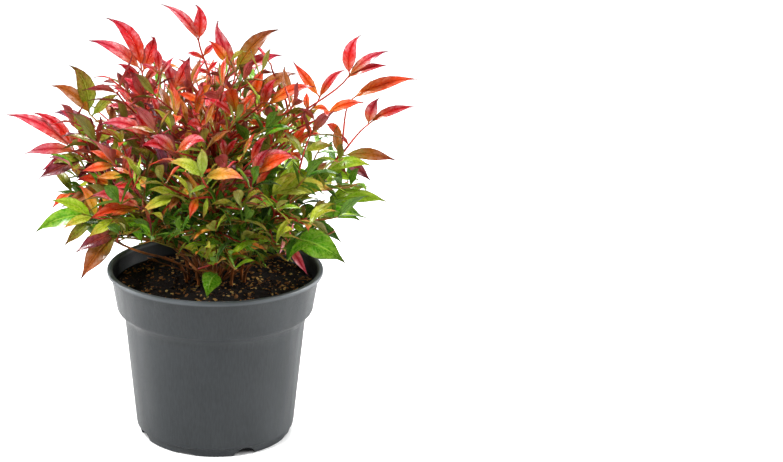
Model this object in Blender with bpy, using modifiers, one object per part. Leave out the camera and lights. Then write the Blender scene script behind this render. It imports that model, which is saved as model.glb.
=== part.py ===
# Heavenly bamboo in a 3 litre nursery pot: pot, soil, canes and the masses of foliage they carry.
# Metres, +Z up, origin on the pot's axis at the plane it stands on. The plant faces -Y.

import math
import random

import bmesh
import bpy
from mathutils import Matrix, Vector
from mathutils.bvhtree import BVHTree

OBJECT_NAME = "heavenly_bamboo"
CLEAR = 0.0003                      # gap between pieces that touch on the real plant
UP = Vector((0.0, 0.0, 1.0))

# Pot
TURN_STEPS = 48
POT_HEIGHT = 0.152
RIM_RADIUS = 0.095
RIM_DEPTH = 0.004
COLLAR_TOP_RADIUS = 0.0917
COLLAR_BOTTOM_RADIUS = 0.0866
COLLAR_DEPTH = 0.036
SHOULDER_DEPTH = 0.008
BODY_TOP_RADIUS = 0.0803
BODY_BOTTOM_RADIUS = 0.0707
SHOULDER_BULGE = 0.0025             # how far the shoulder stands out of the body half way down
FOOT_RADIUS = 0.0682
FOOT_INNER_RADIUS = 0.056
FOOT_HEIGHT = 0.008
WALL = 0.0018
FLOOR_UNDERSIDE = 0.007
NOTCH_COUNT = 8                     # arches in the foot ring, deep and shallow by turns
FIRST_NOTCH = -67.5                 # a deep one's bearing from +X
NOTCH_HALF_WIDTH = 0.010
NOTCH_LENGTH = 0.030
NOTCH_SUNK = 0.0004                 # how far the arches' middle line lies below the ground
DEEP_NOTCH = 0.0065
SHALLOW_NOTCH = 0.002
DRAIN_COUNT = 8                     # holes in the floor
DRAIN_RADIUS = 0.005
DRAIN_CIRCLE = 0.040

# Soil
SOIL_TOP = 0.140
SOIL_EDGE_DROP = 0.003
SOIL_FLAT_RADIUS = 0.040

# Canes
CANE_FOOT_RADIUS = 0.0021
CANE_TIP_RADIUS = 0.0013
CANE_POINTS = 6
CLUMP_RADIUS = 0.028                # the ring of ground that the canes rise from
LOW_CANE = 0.066                    # how far from the soil's middle a low cane's tip is
HIGH_CANE = 0.100
STEM_LIFT = 5.0                     # how much higher than its mass's middle a cane points

# Crown: the masses share it out by rays from CROWN_ROOT, each keeping to the rays nearest its own
SEED = 11
TRIES_FOR_A_PLACE = 40
CROWN_ROOT = Vector((0.0, 0.0, SOIL_TOP))
LOW_REACH = 0.150                   # how far the leaf tips stand from the soil's middle, low down
HIGH_REACH = 0.236                  # and high up
LOW_REACH_ANGLE = 18.0
HIGH_REACH_ANGLE = 46.0
CROWN_RADIUS = 0.177                # nothing stands further than this from the pot's axis
NODE_REACHES = (0.50, 0.68, 0.80, 0.84)    # shares of that reach at which fronds' nodes stand

# Stems, twigs and leaves
STEM_RADIUS = 0.0013
STEM_LEAVES = 2                     # leaflets at the end of a mass's stem
TWIG_RADIUS = 0.0010
THINNING = 0.08                     # of a twig's radius, from one ring to the next
LEAF_LENGTH = (0.042, 0.056)
LEAF_SLENDERNESS = 0.31             # width over length
LEAF_WIDEST = 0.42                  # share of its length
LEAF_KEEL = 0.0010
LEAF_FOLD = 0.18                    # how far the edges stand up, for each unit of half width
STALK_SUNK = 0.0001                 # how far a leaf's stalk starts behind the twig's middle
STALK_OUT = 0.0016                  # and how far in front of it the stalk ends
STALK_RADIUS = 0.0006
LEAF_ARCH = 0.10                    # rise of the blade over its chord, as a share of its length
SIDE_LEAF = 0.86                    # side leaflets' length over the end leaflet's
SIDE_SPREAD = 50.0                  # their angle to it
PAIR_LEAF = 0.80                    # the same for the pair of leaflets further down the twig
PAIR_SPREAD = 62.0
PAIR_ROLL = 50.0                    # their plane against the end leaflets'
STEM_SPACING = 0.0035               # between the fronds on a stem
FROND_DROOP = 0.05                  # how far below its node a frond likes to leave its stem
NODE_SPACING = 0.0030               # between the roots of the leaflets at a node
TURN_IN_STEPS = 6                   # how often a blade that doesn't fit is turned in before it is
TURN_IN = 0.12                      # left out, and by what share of the way each time

# Fusing
WELD = 0.000001
FLAT_ANGLE = 6.0                    # faces that meet at less than this become one
FUSE_TRIES = 12
NUDGES = 6
HAIR = 0.00004

# Each mass: name, bearing from +X, rise above level, length of its stem, fronds grown by rule
MASSES = (
    ("top", 100.0, 89.0, 0.085, 4),
    ("upper_right", -3.0, 63.0, 0.080, 3),
    ("upper_back", 88.0, 62.0, 0.080, 6),
    ("upper_left", 183.0, 63.0, 0.080, 4),
    ("upper_front", 270.0, 63.0, 0.080, 6),
    ("middle_right", -2.0, 41.0, 0.070, 3),
    ("middle_back_right", 58.0, 41.0, 0.070, 6),
    ("middle_back_left", 121.0, 41.0, 0.070, 6),
    ("middle_left", 184.0, 40.0, 0.070, 3),
    ("middle_front_left", 232.0, 39.0, 0.070, 4),
    ("middle_front", 270.0, 39.0, 0.070, 7),
    ("middle_front_right", 307.0, 39.0, 0.070, 4),
    ("low_right", -18.0, 21.0, 0.050, 3),
    ("low_back_right", 68.0, 22.0, 0.050, 4),
    ("low_back_left", 132.0, 22.0, 0.050, 4),
    ("low_left", 200.0, 21.0, 0.050, 3),
    ("low_front", 257.0, 20.0, 0.034, 1),
)

# How the fronds below face and tilt: towards the front
LEADING_FACING = Vector((0.0, -0.85, 0.5))
LEADING_LEAN = Vector((0.0, -1.0, 0.0))

# Fronds that draw the crown's outline: where the leaflets part, tilt towards the front in degrees,
# then each leaflet's lean from +X as seen from the front, and its length
LEADING_FRONDS = {
    "top": (
        ((-0.014, 0.000, 0.353), 10, ((92, 0.032), (134, 0.046))),
        ((0.017, 0.000, 0.325), 0, ((112, 0.048), (48, 0.054), (21, 0.044))),
    ),
    "upper_left": (
        ((-0.062, -0.010, 0.330), 12, ((121, 0.056), (147, 0.053), (66, 0.038))),
        ((-0.107, -0.010, 0.292), 5, ((105, 0.046), (142, 0.043), (41, 0.031))),
    ),
    "upper_right": (
        ((0.050, -0.012, 0.302), 10, ((73, 0.030), (30, 0.042))),
        ((0.089, 0.000, 0.304), 0, ((127, 0.036), (49, 0.032))),
        ((0.114, 0.000, 0.323), 0, ((80, 0.036), (32, 0.040), (14, 0.034))),
    ),
    "middle_left": (
        ((-0.122, -0.010, 0.260), 5, ((156, 0.063), (139, 0.049), (184, 0.043))),
        ((-0.110, -0.030, 0.257), 15, ((205, 0.042), (190, 0.030))),
        ((-0.087, -0.040, 0.236), 20, ((203, 0.046), (170, 0.034))),
    ),
    "middle_right": (
        ((0.117, 0.012, 0.299), 0, ((14, 0.058), (48, 0.032))),
        ((0.134, 0.020, 0.276), 0, ((20, 0.042), (70, 0.024))),
        ((0.109, -0.010, 0.255), 5, ((-8, 0.045), (100, 0.029), (-40, 0.033))),
    ),
    "low_left": (
        ((-0.105, 0.000, 0.197), 10, ((199, 0.053), (223, 0.036))),
        ((-0.081, -0.040, 0.196), 15, ((233, 0.050), (205, 0.041))),
    ),
    "low_right": (
        ((0.100, 0.010, 0.208), 0, ((-8, 0.043), (20, 0.035), (-34, 0.030))),
        ((0.059, -0.070, 0.201), 12, ((-25, 0.052), (-60, 0.036))),
    ),
    "low_front": (
        ((0.002, -0.062, 0.166), 62, ((240, 0.036), (190, 0.028))),
    ),
}

COLOURS = {
    "pot": ((0.055, 0.062, 0.068), 0.38),
    "soil": ((0.030, 0.019, 0.012), 0.95),
    "cane": ((0.150, 0.055, 0.030), 0.60),
    "foliage_top": ((0.640, 0.070, 0.055), 0.42),
    "foliage_upper": ((0.560, 0.090, 0.050), 0.42),
    "foliage_middle": ((0.380, 0.130, 0.035), 0.45),
    "foliage_low": ((0.120, 0.200, 0.035), 0.45),
}


def clear_scene():
    for obj in list(bpy.data.objects):
        bpy.data.objects.remove(obj, do_unlink=True)


def make_collection(name):
    collection = bpy.data.collections.new(name)
    bpy.context.scene.collection.children.link(collection)
    return collection


def make_material(name):
    colour, roughness = COLOURS[name]
    material = bpy.data.materials.new(name)
    material.use_nodes = True
    shader = material.node_tree.nodes["Principled BSDF"]
    shader.inputs["Base Color"].default_value = (*colour, 1.0)
    shader.inputs["Roughness"].default_value = roughness
    shader.inputs["Metallic"].default_value = 0.0
    return material


def link_mesh(bm, name, collection, material=None):
    mesh = bpy.data.meshes.new(name)
    bm.to_mesh(mesh)
    bm.free()
    obj = bpy.data.objects.new(name, mesh)
    collection.objects.link(obj)
    if material:
        mesh.materials.append(material)
    return obj


def around(bearing, radius, height=0.0):
    turn = math.radians(bearing)
    return Vector((radius * math.cos(turn), radius * math.sin(turn), height))


def direction_of(bearing, rise):
    return around(bearing, math.cos(math.radians(rise)), math.sin(math.radians(rise)))


# Turned pieces

def turned(name, profile, collection, material):
    bm = bmesh.new()
    points = [bm.verts.new((radius, 0.0, height)) for radius, height in profile]
    for first, second in zip(points, points[1:]):
        bm.edges.new((first, second))
    obj = link_mesh(bm, name, collection, material)
    screw = obj.modifiers.new("turn", "SCREW")
    screw.steps = TURN_STEPS
    screw.render_steps = TURN_STEPS
    screw.use_merge_vertices = True
    screw.merge_threshold = 0.0001
    return obj


def body_radius(height):
    top = POT_HEIGHT - COLLAR_DEPTH - SHOULDER_DEPTH
    share = (height - FOOT_HEIGHT) / (top - FOOT_HEIGHT)
    return BODY_BOTTOM_RADIUS + share * (BODY_TOP_RADIUS - BODY_BOTTOM_RADIUS)


def inner_wall(inset):
    # the pot's inside from the floor to the rim, moved in by inset
    floor = FLOOR_UNDERSIDE + WALL
    collar_foot = POT_HEIGHT - COLLAR_DEPTH
    return [
        (body_radius(floor) - WALL - inset, floor),
        (BODY_TOP_RADIUS - WALL - inset, collar_foot - SHOULDER_DEPTH),
        (BODY_TOP_RADIUS + SHOULDER_BULGE - WALL - inset, collar_foot - 0.4 * SHOULDER_DEPTH),
        (COLLAR_BOTTOM_RADIUS - WALL - inset, collar_foot + WALL),
        (COLLAR_TOP_RADIUS - WALL - inset, POT_HEIGHT - RIM_DEPTH),
    ]


def make_pot(parts, cutters):
    floor = FLOOR_UNDERSIDE + WALL
    collar_foot = POT_HEIGHT - COLLAR_DEPTH
    lip = RIM_DEPTH / 4.0
    profile = [(0.0, floor)]
    profile += inner_wall(0.0)
    profile += [
        (COLLAR_TOP_RADIUS - WALL + 0.4 * lip, POT_HEIGHT - lip),
        (COLLAR_TOP_RADIUS - WALL + 1.4 * lip, POT_HEIGHT),
        (RIM_RADIUS - lip, POT_HEIGHT),
        (RIM_RADIUS - 0.2 * lip, POT_HEIGHT - 0.5 * lip),
        (RIM_RADIUS, POT_HEIGHT - 1.5 * lip),
        (RIM_RADIUS - 0.2 * lip, POT_HEIGHT - 3.4 * lip),
        (RIM_RADIUS - lip, POT_HEIGHT - RIM_DEPTH),
        (COLLAR_TOP_RADIUS, POT_HEIGHT - RIM_DEPTH),
        (COLLAR_BOTTOM_RADIUS, collar_foot),
        (COLLAR_BOTTOM_RADIUS - 0.5 * SHOULDER_BULGE, collar_foot - 0.25 * SHOULDER_DEPTH),
        (BODY_TOP_RADIUS + 0.8 * SHOULDER_BULGE, collar_foot - 0.5 * SHOULDER_DEPTH),
        (BODY_TOP_RADIUS, collar_foot - SHOULDER_DEPTH),
        (BODY_BOTTOM_RADIUS, FOOT_HEIGHT),
        (FOOT_RADIUS, 0.8 * FOOT_HEIGHT),
        (FOOT_RADIUS - 0.1 * FOOT_HEIGHT, 0.0),
        (FOOT_INNER_RADIUS, 0.0),
        (FOOT_INNER_RADIUS - 0.1 * FOOT_HEIGHT, FLOOR_UNDERSIDE),
        (0.0, FLOOR_UNDERSIDE),
    ]
    pot = turned("pot", profile, parts, make_material("pot"))
    for index in range(NOTCH_COUNT):
        depth = DEEP_NOTCH if index % 2 == 0 else SHALLOW_NOTCH
        add_notch(FIRST_NOTCH + index * 360.0 / NOTCH_COUNT, depth, cutters)
    for index in range(DRAIN_COUNT):
        add_drain(index * 360.0 / DRAIN_COUNT, cutters)
    boolean = pot.modifiers.new("cut", "BOOLEAN")
    boolean.operation = "DIFFERENCE"
    boolean.operand_type = "COLLECTION"
    boolean.collection = cutters


def add_notch(bearing, depth, cutters):
    # a low arch cut through the foot ring, its long axis running out from the middle
    bm = bmesh.new()
    bmesh.ops.create_cone(bm, cap_ends=True, segments=12, radius1=1.0, radius2=1.0, depth=NOTCH_LENGTH)
    flatten = Matrix.Diagonal((NOTCH_HALF_WIDTH, depth + NOTCH_SUNK, 1.0, 1.0))
    upright = Matrix.Rotation(math.radians(90.0), 4, "X")
    outwards = Matrix.Rotation(math.radians(bearing + 90.0), 4, "Z")
    bmesh.ops.transform(bm, matrix=outwards @ upright @ flatten, verts=bm.verts)
    middle = around(bearing, 0.5 * (FOOT_RADIUS + FOOT_INNER_RADIUS), -NOTCH_SUNK)
    bmesh.ops.translate(bm, vec=middle, verts=bm.verts)
    add_cutter(bm, "notch", cutters)


def add_drain(bearing, cutters):
    bm = bmesh.new()
    bmesh.ops.create_cone(
        bm, cap_ends=True, segments=8, radius1=DRAIN_RADIUS, radius2=DRAIN_RADIUS, depth=0.01)
    bmesh.ops.translate(bm, vec=around(bearing, DRAIN_CIRCLE, FLOOR_UNDERSIDE), verts=bm.verts)
    add_cutter(bm, "drain", cutters)


def add_cutter(bm, name, cutters):
    cutter = link_mesh(bm, name, cutters)
    cutter.hide_render = True
    cutter.display_type = "WIRE"


def make_soil(parts):
    floor = FLOOR_UNDERSIDE + WALL + CLEAR
    wall = inner_wall(CLEAR)
    low, high = wall[-2], wall[-1]
    edge = SOIL_TOP - SOIL_EDGE_DROP
    share = (edge - low[1]) / (high[1] - low[1])
    edge_radius = low[0] + share * (high[0] - low[0])
    profile = [(0.0, SOIL_TOP), (SOIL_FLAT_RADIUS, SOIL_TOP)]
    profile += [(0.5 * (SOIL_FLAT_RADIUS + edge_radius), SOIL_TOP - 0.3 * SOIL_EDGE_DROP)]
    profile += [(edge_radius, edge)]
    profile += list(reversed(wall[1:-1]))
    profile += [(wall[0][0], floor), (0.0, floor)]
    turned("soil", profile, parts, make_material("soil"))


# Canes

def bezier(first, second, third, fourth, share):
    rest = 1.0 - share
    return (first * rest ** 3 + second * 3 * share * rest ** 2
            + third * 3 * share ** 2 * rest + fourth * share ** 3)


def curve_points(first, second, third, fourth, count):
    return [bezier(first, second, third, fourth, step / (count - 1.0)) for step in range(count)]


def cane_path(bearing, rise):
    # rises straight from its flat cut, then arches over to point along its mass's stem
    height_share = math.sin(math.radians(rise)) ** 2
    tip_rise = rise + min(STEM_LIFT, 0.5 * (90.0 - rise))
    tip = CROWN_ROOT + direction_of(bearing, tip_rise) * (LOW_CANE + (HIGH_CANE - LOW_CANE) * height_share)
    foot = around(bearing, CLUMP_RADIUS * math.cos(math.radians(rise)) ** 0.7, SOIL_TOP + CLEAR)
    span = (tip - foot).length
    lift = foot + UP * 0.45 * span
    lead = tip - direction_of(bearing, rise) * 0.35 * span
    return curve_points(foot, lift, lead, tip, CANE_POINTS)


def make_cane(name, path, collection, material=None, swell=0.0):
    curve = bpy.data.curves.new(name, "CURVE")
    curve.dimensions = "3D"
    curve.bevel_depth = 1.0
    curve.bevel_resolution = 1
    curve.use_fill_caps = True
    spline = curve.splines.new("POLY")
    spline.points.add(len(path) - 1)
    for index, point in enumerate(path):
        share = index / (len(path) - 1.0)
        spline.points[index].co = (*point, 1.0)
        spline.points[index].radius = CANE_FOOT_RADIUS + share * (CANE_TIP_RADIUS - CANE_FOOT_RADIUS) + swell
    guide = bpy.data.objects.new(name + "_guide", curve)
    collection.objects.link(guide)
    depsgraph = bpy.context.evaluated_depsgraph_get()
    mesh = bpy.data.meshes.new_from_object(guide.evaluated_get(depsgraph))
    bpy.data.objects.remove(guide, do_unlink=True)
    bm = bmesh.new()
    bm.from_mesh(mesh)
    bpy.data.meshes.remove(mesh)
    bmesh.ops.remove_doubles(bm, verts=bm.verts, dist=0.00001)
    for vert in bm.verts:
        if vert.co.z < path[0].z + CANE_FOOT_RADIUS:
            vert.co.z = path[0].z
    bmesh.ops.recalc_face_normals(bm, faces=bm.faces)
    cane = link_mesh(bm, name, collection, material)
    cane.data.shade_smooth()
    cane.data.set_sharp_from_angle(angle=math.radians(50.0))
    return cane


# Foliage

def spindle(sides, stations, place):
    # a closed shape with a point at each end, whose rings place() puts along a path
    bm = bmesh.new()
    bmesh.ops.create_uvsphere(bm, u_segments=sides, v_segments=stations + 1, radius=1.0)
    bmesh.ops.triangulate(bm, faces=bm.faces)
    for vert in bm.verts:
        polar = math.acos(max(-1.0, min(1.0, vert.co.z))) / math.pi
        turn = math.atan2(vert.co.y, vert.co.x) % math.tau
        vert.co = place(round(polar * (stations + 1)), turn)
    return bm


def side_frame(along, facing):
    # unit vectors along a blade or twig, out of its upper side, and across it
    along = along.normalized()
    normal = facing - along * facing.dot(along)
    normal.normalize()
    return along, normal, along.cross(normal)


def leaf_rings(root, tip, facing):
    # centre, half width, keel and lift of the edges of a lance-shaped blade, at its short stalk
    # and where it is widest; the blade is arched so that its tip droops
    length = (tip - root).length
    along, normal, _ = side_frame(tip - root, facing)
    belly = root.lerp(tip, LEAF_WIDEST) + normal * length * LEAF_ARCH
    half_width = 0.5 * length * LEAF_SLENDERNESS
    return (
        round_ring(root + along * STALK_OUT, STALK_RADIUS),
        (belly, half_width, LEAF_KEEL, half_width * LEAF_FOLD),
    )


def round_ring(centre, radius):
    return centre, 0.87 * radius, radius, 0.5 * radius


def three_sided(heel, rings, toe, facing):
    # a closed shape along its rings' centres: flat above, a keel below, a point at each end
    centres = [heel] + [ring[0] for ring in rings] + [toe]

    def place(station, turn):
        if station in (0, len(centres) - 1):
            return centres[station]
        centre, half_width, keel, lift = rings[station - 1]
        _, normal, side = side_frame(centres[station + 1] - centres[station - 1], facing)
        corner = round(turn / (math.tau / 3.0)) % 3
        if corner == 2:
            return centre - normal * keel
        out = half_width if corner == 0 else -half_width
        return centre + side * out + normal * lift

    return spindle(3, len(rings), place)


def leaf_shape(root, tip, facing):
    heel = root - (tip - root).normalized() * STALK_SUNK
    return three_sided(heel, leaf_rings(root, tip, facing), tip, facing)


def twig_shape(path, tip, facing):
    # a three-sided twig; with a tip, its end grows on into the end leaflet
    rings = [round_ring(point, TWIG_RADIUS * (1.0 - THINNING * index)) for index, point in enumerate(path)]
    heel = path[0] - (path[1] - path[0]).normalized() * 0.5 * TWIG_RADIUS
    toe = path[-1] + (path[-1] - path[-2]).normalized() * 0.8 * TWIG_RADIUS
    if tip:
        rings.append(leaf_rings(path[-1], tip, facing)[1])
        toe = tip
    return three_sided(heel, rings, toe, facing)


def stem_shape(path):
    # round, with a flat cut at the start, which faces the cane's tip
    toe = path[-1] + (path[-1] - path[-2]).normalized() * 0.8 * STEM_RADIUS
    centres = [path[0]] + list(path) + [toe]

    def place(station, turn):
        if station in (0, len(centres) - 1):
            return centres[station]
        index = station - 1
        before, after = path[max(index - 1, 0)], path[min(index + 1, len(path) - 1)]
        _, normal, side = side_frame(after - before, Vector((0.37, 0.21, 0.90)))
        radius = STEM_RADIUS * (1.0 - THINNING * index)
        return path[index] + (side * math.cos(turn) + normal * math.sin(turn)) * radius

    return spindle(6, len(path), place)


def tree_of(bm):
    bm.verts.index_update()
    corners = [vert.co.copy() for vert in bm.verts]
    return BVHTree.FromPolygons(corners, [[vert.index for vert in face.verts] for face in bm.faces])


class Mass:
    # one mass of foliage while it grows: its own space, and what it has to keep clear of

    def __init__(self, name, direction, others, stem, limbs, scratch):
        self.name = name
        self.planes = [(direction - other).normalized() for other in others]
        self.limbs = limbs
        self.scratch = scratch
        self.places = places_along(stem)
        self.stem = stem_shape(stem)
        self.stem_tree = tree_of(self.stem)
        self.trees = []
        self.own_trees = []
        self.leaves = 0

    def holds(self, bm):
        return all(vert.co.xy.length < CROWN_RADIUS for vert in bm.verts) and all(
            (vert.co - CROWN_ROOT).dot(plane) > 0.6 * CLEAR
            for plane in self.planes for vert in bm.verts)

    def free(self, tree):
        return not any(tree.overlap(limb) for limb in self.limbs)

    def add(self, bm, kind):
        link_mesh(bm, f"{kind}_{len(self.scratch.objects):03d}_{self.name}", self.scratch)

    def crowded(self, tree):
        return any(tree.overlap(other) for other in self.trees)

    def try_twig(self, path, tip, facing):
        bm = twig_shape(path, tip, facing)
        tree = tree_of(bm)
        if self.holds(bm) and self.free(tree) and not self.crowded(tree):
            self.add(bm, "twig")
            self.own_trees.append(tree)
            self.leaves += 1 if tip else 0
            return True
        bm.free()
        return False

    def try_leaf(self, root, tip, facing, inwards, on_stem=False):
        # a leaf that would leave the space or touch something turns in a little, or is left out
        length = (tip - root).length
        straight = (tip - root).normalized()
        for step in range(TURN_IN_STEPS):
            aim = straight.lerp(inwards, TURN_IN * step).normalized()
            bm = leaf_shape(root, root + aim * length, facing)
            tree = tree_of(bm)
            off_stem = on_stem or not tree.overlap(self.stem_tree)
            if self.holds(bm) and self.free(tree) and off_stem and not self.crowded(tree):
                self.add(bm, "leaf")
                self.own_trees.append(tree)
                self.leaves += 1
                return
            bm.free()

    def close_frond(self):
        # the next fronds keep clear of this one, whose own pieces meet
        self.trees += self.own_trees
        self.own_trees = []


def crown_reach(ray):
    # how far the leaf tips stand from the soil's middle in this direction
    rise = math.degrees(math.asin(max(-1.0, min(1.0, ray.z))))
    share = (rise - LOW_REACH_ANGLE) / (HIGH_REACH_ANGLE - LOW_REACH_ANGLE)
    share = max(0.0, min(1.0, share))
    return LOW_REACH + (HIGH_REACH - LOW_REACH) * share * share * (3.0 - 2.0 * share)


def frond_facing(out, roll):
    # the upper side of a frond's blades looks up, rolled to one side of the way out
    return UP + UP.cross(out) * roll


def outwards_at(point):
    level = Vector((point.x, point.y, 0.0))
    if level.length < 0.004:
        return Vector((0.0, -1.0, 0.0))
    return level.normalized()


def rachis_path(start, lean, node, heading):
    span = (node - start).length
    return curve_points(start, start + lean * 0.35 * span, node - heading * 0.30 * span, node, 4)


def grow_rachis(mass, start, lean, node, heading, length, facing):
    # the twig to the node and its end leaflet, straighter or turned in where it has to be
    straight = (node - start).normalized()
    ray = (node - CROWN_ROOT).normalized()
    for bend in (1.0, 0.5, 0.0):
        path = rachis_path(start, straight.lerp(lean, bend), node, straight.lerp(heading, bend))
        for step in range(TURN_IN_STEPS):
            aim = heading.lerp(ray, TURN_IN * step).normalized()
            if mass.try_twig(path, node + aim * length, facing):
                return path
    path = rachis_path(start, straight, node, straight)
    return path if mass.try_twig(path, None, facing) else None


def grow_frond(mass, node, fan, length, facing):
    # leaves its stem some way below its node, where no other frond does
    stem = mass.places
    lean = (stem[-1] - stem[0]).normalized()
    heading, end_length = fan[0]
    starts = sorted(stem, key=lambda place: (node - place).length + abs(place.z + FROND_DROOP - node.z))
    for start in starts[:6]:
        path = grow_rachis(mass, start, lean, node, heading, end_length, facing)
        if path:
            stem.remove(start)
            break
    else:
        return False
    inwards = (node - CROWN_ROOT).normalized()
    back = (path[-2] - path[-1]).normalized()
    for order, (heading, size) in enumerate(fan[1:]):
        root = path[-1] + back * NODE_SPACING * (order + 0.6)
        mass.try_leaf(root, node + heading * size, facing, inwards)
    grow_pair(mass, path, PAIR_LEAF * length, facing, inwards)
    mass.close_frond()
    return True


def grow_pair(mass, path, length, facing, inwards):
    # two leaflets half way along the twig, in a plane rolled against its end leaflets'
    along, normal, side = side_frame(path[2] - path[1], facing)
    roll, spread = math.radians(PAIR_ROLL), math.radians(PAIR_SPREAD)
    across = side * math.cos(roll) + normal * math.sin(roll)
    for hand in (-1.0, 1.0):
        root = path[1].lerp(path[2], 0.30 + 0.15 * hand)
        heading = along * math.cos(spread) + across * hand * math.sin(spread)
        mass.try_leaf(root, root + heading * length, across.cross(along), inwards)


def grow_leading_frond(mass, row):
    place, tilt, leaflets = row
    node = Vector(place)
    dip = math.radians(tilt)
    fan = []
    for lean, length in leaflets:
        heading = direction_of(0.0, lean) * math.cos(dip) + LEADING_LEAN * math.sin(dip)
        fan.append((heading, length))
    return node if grow_frond(mass, node, fan, fan[0][1], LEADING_FACING) else None


def grow_ruled_frond(mass, node, rng):
    length = rng.uniform(*LEAF_LENGTH)
    out = outwards_at(node)
    sway = Vector((rng.uniform(-1, 1), rng.uniform(-1, 1), rng.uniform(-0.5, 0.7)))
    heading = ((node - CROWN_ROOT).normalized() + out * 0.35 + sway * 0.42).normalized()
    facing = frond_facing(out, rng.choice((-1.0, 1.0)) * rng.uniform(0.35, 0.9))
    along, _, side = side_frame(heading, facing)
    spread = math.radians(SIDE_SPREAD + rng.uniform(-8, 8))
    fan = [(heading, length)]
    for hand in (-1.0, 1.0):
        fan.append((along * math.cos(spread) + side * hand * math.sin(spread), SIDE_LEAF * length))
    return grow_frond(mass, node, fan, length, facing)


def place_for_node(mass, direction, placed, rng):
    # of some random places in the mass's space, the one that stands furthest from its neighbours
    best, best_gap = None, 0.0
    for _ in range(TRIES_FOR_A_PLACE):
        sway = Vector((rng.gauss(0, 1), rng.gauss(0, 1), rng.gauss(0, 1))) * 0.26
        ray = (direction + sway).normalized()
        node = CROWN_ROOT + ray * crown_reach(ray) * rng.choice(NODE_REACHES)
        inside = min((node - CROWN_ROOT).dot(plane) for plane in mass.planes)
        if inside < 0.008 or node.z < POT_HEIGHT + 0.008:
            continue
        gap = min([(node - other).length for other in placed] + [0.03 + 2.0 * inside])
        if gap > best_gap:
            best, best_gap = node, gap
    return best


def grow_stem_end(mass, stem):
    along = (stem[-1] - stem[-2]).normalized()
    _, normal, side = side_frame(along, frond_facing(outwards_at(stem[-1]), 0.6))
    for order in range(STEM_LEAVES):
        swing = math.radians(30.0 + 150.0 * order)
        aim = (along + (side * math.cos(swing) + normal * math.sin(swing)) * 0.8).normalized()
        root = stem[-1] - along * NODE_SPACING * order
        mass.try_leaf(root, root + aim * LEAF_LENGTH[0], side, along, on_stem=True)


def places_along(stem):
    # where fronds may leave the stem, STEM_SPACING apart, from a little above its cut
    places = []
    for first, second in zip(stem, stem[1:]):
        count = max(1, int((second - first).length / STEM_SPACING))
        places += [first.lerp(second, (step + 0.5) / count) for step in range(count)]
    return places[1:]


def fuse(mass, parts, material):
    # where neither solver closes the surface, the piece at the fault is moved by a hair, and
    # after that a leaf there is left out
    stem = link_mesh(mass.stem, mass.name + "_stem", parts)
    for attempt in range(FUSE_TRIES):
        bm = union_of(mass, stem, "MANIFOLD" if attempt % 2 else "EXACT")
        keep_largest_body(bm)
        faults = [edge.verts[0].co.copy() for edge in bm.edges if not edge.is_manifold]
        if not faults:
            break
        nearest = min(mass.scratch.objects, key=lambda obj: distance_to(obj, faults[0]))
        if attempt < NUDGES:
            nearest.location += Vector((1.0, -1.5, 2.0)) * HAIR * (attempt + 1)
        elif nearest.name.startswith("leaf"):
            bpy.data.objects.remove(nearest, do_unlink=True)
            mass.leaves -= 1
        bpy.context.view_layer.update()
    for obj in list(mass.scratch.objects) + [stem]:
        bpy.data.objects.remove(obj, do_unlink=True)
    bpy.data.collections.remove(mass.scratch)
    link_mesh(bm, mass.name, parts, material)


def distance_to(obj, place):
    found, nearest, _, _ = obj.closest_point_on_mesh(place - obj.location)
    return (nearest + obj.location - place).length if found else 1.0


def union_of(mass, stem, solver):
    union = stem.modifiers.new("fuse", "BOOLEAN")
    union.operation = "UNION"
    union.operand_type = "COLLECTION"
    union.collection = mass.scratch
    union.solver = solver
    depsgraph = bpy.context.evaluated_depsgraph_get()
    mesh = bpy.data.meshes.new_from_object(stem.evaluated_get(depsgraph))
    stem.modifiers.remove(union)
    bm = bmesh.new()
    bm.from_mesh(mesh)
    bpy.data.meshes.remove(mesh)
    bmesh.ops.remove_doubles(bm, verts=bm.verts, dist=WELD)
    bmesh.ops.dissolve_limit(bm, angle_limit=math.radians(FLAT_ANGLE), verts=bm.verts, edges=bm.edges)
    bmesh.ops.triangulate(bm, faces=bm.faces)
    return bm


def keep_largest_body(bm):
    # drops loose scraps, and the walls of any hollow that the union sealed
    unseen = set(bm.verts)
    bodies = []
    while unseen:
        seed = unseen.pop()
        body, queue = {seed}, [seed]
        while queue:
            vert = queue.pop()
            for edge in vert.link_edges:
                other = edge.other_vert(vert)
                if other in unseen:
                    unseen.discard(other)
                    body.add(other)
                    queue.append(other)
        bodies.append(body)
    bodies.sort(key=len, reverse=True)
    for body in bodies[1:]:
        bmesh.ops.delete(bm, geom=list(body), context="VERTS")


def guard_of_pot():
    # a plain drum a little wider and taller than the pot, which foliage keeps clear of
    bm = bmesh.new()
    radius, height = RIM_RADIUS + 0.001, POT_HEIGHT + 0.001
    bmesh.ops.create_cone(
        bm, cap_ends=True, segments=TURN_STEPS, radius1=radius, radius2=radius, depth=height)
    bmesh.ops.translate(bm, vec=UP * 0.5 * height, verts=bm.verts)
    tree = tree_of(bm)
    bm.free()
    return tree


def make_canes(parts):
    # the canes, their paths, and a guard round each that foliage keeps clear of
    material = make_material("cane")
    guards = make_collection("guards")
    paths, trees = {}, []
    for name, bearing, rise, _, _ in MASSES:
        paths[name] = cane_path(bearing, rise)
        make_cane("cane_" + name, paths[name], parts, material)
        guard = make_cane("guard_" + name, paths[name], guards, swell=2.0 * CLEAR)
        bm = bmesh.new()
        bm.from_mesh(guard.data)
        trees.append(tree_of(bm))
        bm.free()
        bpy.data.objects.remove(guard, do_unlink=True)
    bpy.data.collections.remove(guards)
    return paths, trees


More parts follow.
